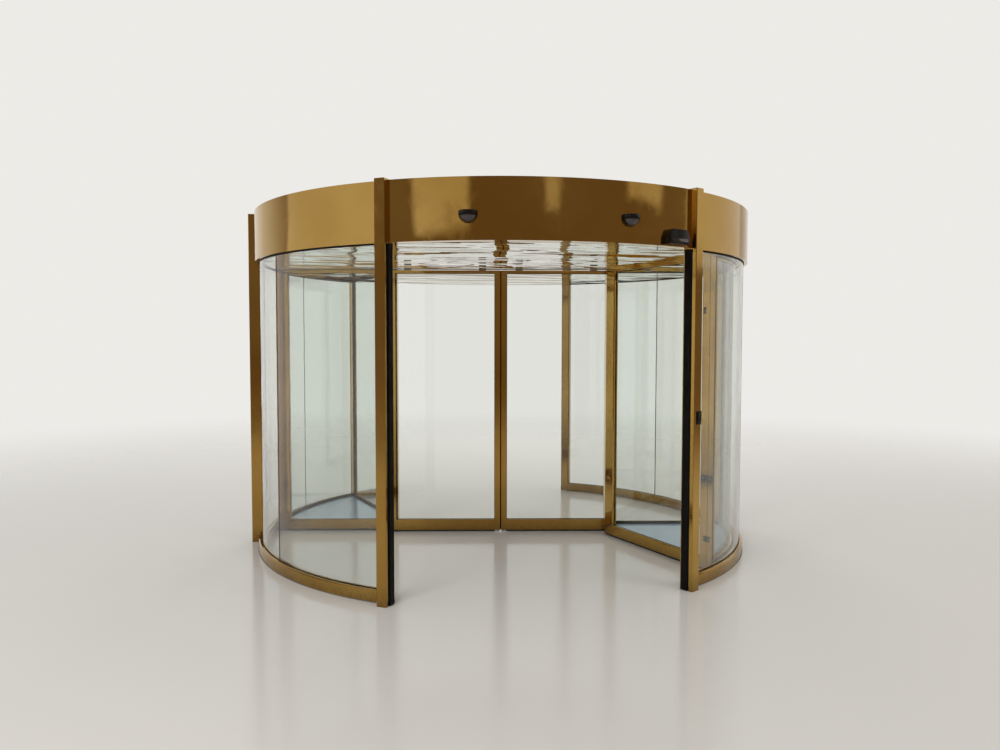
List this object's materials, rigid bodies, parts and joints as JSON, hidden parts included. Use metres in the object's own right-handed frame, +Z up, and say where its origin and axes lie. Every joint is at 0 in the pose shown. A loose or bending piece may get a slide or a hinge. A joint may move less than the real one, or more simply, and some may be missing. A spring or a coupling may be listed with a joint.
{
  "type": "automatic revolving door",
  "caption": "Automatic revolving door: glazed round drum with gold-toned posts, rails and header, a rotor with glazed showcases, and sliding centre leaves between them.",
  "frame": {"origin": "drum axis at floor level", "axes": "+Z up, +Y towards the street, +X along the wall to the right as seen from the room"},
  "size_m": [4.03, 3.942, 2.6],
  "materials": {
    "gold_metal": "polished gold-toned stainless steel",
    "tinted_glass": "clear with a slight green-grey tint",
    "mirror_ceiling": "mirror polished",
    "mirror_steel": "polished",
    "black_rubber": "matte",
    "black_plastic": "gloss",
    "showcase_floor": "gloss",
    "steel": "machined",
    "grey_roof_sheet": "satin"
  },
  "bodies": {
    "drum": {"base_rail_left": "gold_metal", "base_rail_right": "gold_metal", "bearing_beams": "steel", "bearing_housing": "steel", "canopy_roof": "grey_roof_sheet", "curved_panes_left": "tinted_glass", "curved_panes_right": "tinted_glass", "fascia_left": "gold_metal", "fascia_right": "gold_metal", "fascia_room": "gold_metal", "fascia_street": "gold_metal", "header_left": "mirror_steel", "header_right": "mirror_steel", "header_room": "mirror_steel", "header_street": "mirror_steel", "post_room_left": "gold_metal", "post_room_right": "gold_metal", "post_street_left": "gold_metal", "post_street_right": "gold_metal", "safety_strips": "black_rubber", "sensors_room": "black_plastic", "sensors_street": "black_plastic", "wall_jamb_left": "gold_metal", "wall_jamb_right": "gold_metal"},
    "rotor": {"king_pin": "steel", "leaf_track": "steel", "rotor_ceiling": "mirror_ceiling", "showcase_base_rails_room": "gold_metal", "showcase_base_rails_street": "gold_metal", "showcase_bent_pane_room": "tinted_glass", "showcase_bent_pane_street": "tinted_glass", "showcase_flat_panes_room": "tinted_glass", "showcase_flat_panes_street": "tinted_glass", "showcase_floor_room": "showcase_floor", "showcase_floor_street": "showcase_floor", "showcase_head_rails_room": "gold_metal", "showcase_head_rails_street": "gold_metal", "showcase_posts_room": "gold_metal", "showcase_posts_street": "gold_metal"},
    "right_leaf": {"leaf_frame_right": "gold_metal", "leaf_hangers_right": "steel", "leaf_pane_right": "tinted_glass"},
    "left_leaf": {"leaf_frame_left": "gold_metal", "leaf_hangers_left": "steel", "leaf_pane_left": "tinted_glass"}
  },
  "joints": [
    {"name": "rotor_turn", "type": "hinge", "parent": "drum", "child": "rotor", "pos_m": [0, 0, 0], "axis": [0, 0, 1], "continuous": true},
    {"name": "right_leaf_slide", "type": "slide", "parent": "rotor", "child": "right_leaf", "axis": [0.9903, -0.1392, 0], "range_m": [0, 0.8]},
    {"name": "left_leaf_slide", "type": "slide", "parent": "rotor", "child": "left_leaf", "axis": [-0.9903, 0.1392, 0], "range_m": [0, 0.8]}
  ],
  "couplings": [
    {"joint": "left_leaf_slide", "follows": "right_leaf_slide", "ratio": 1}
  ]
}
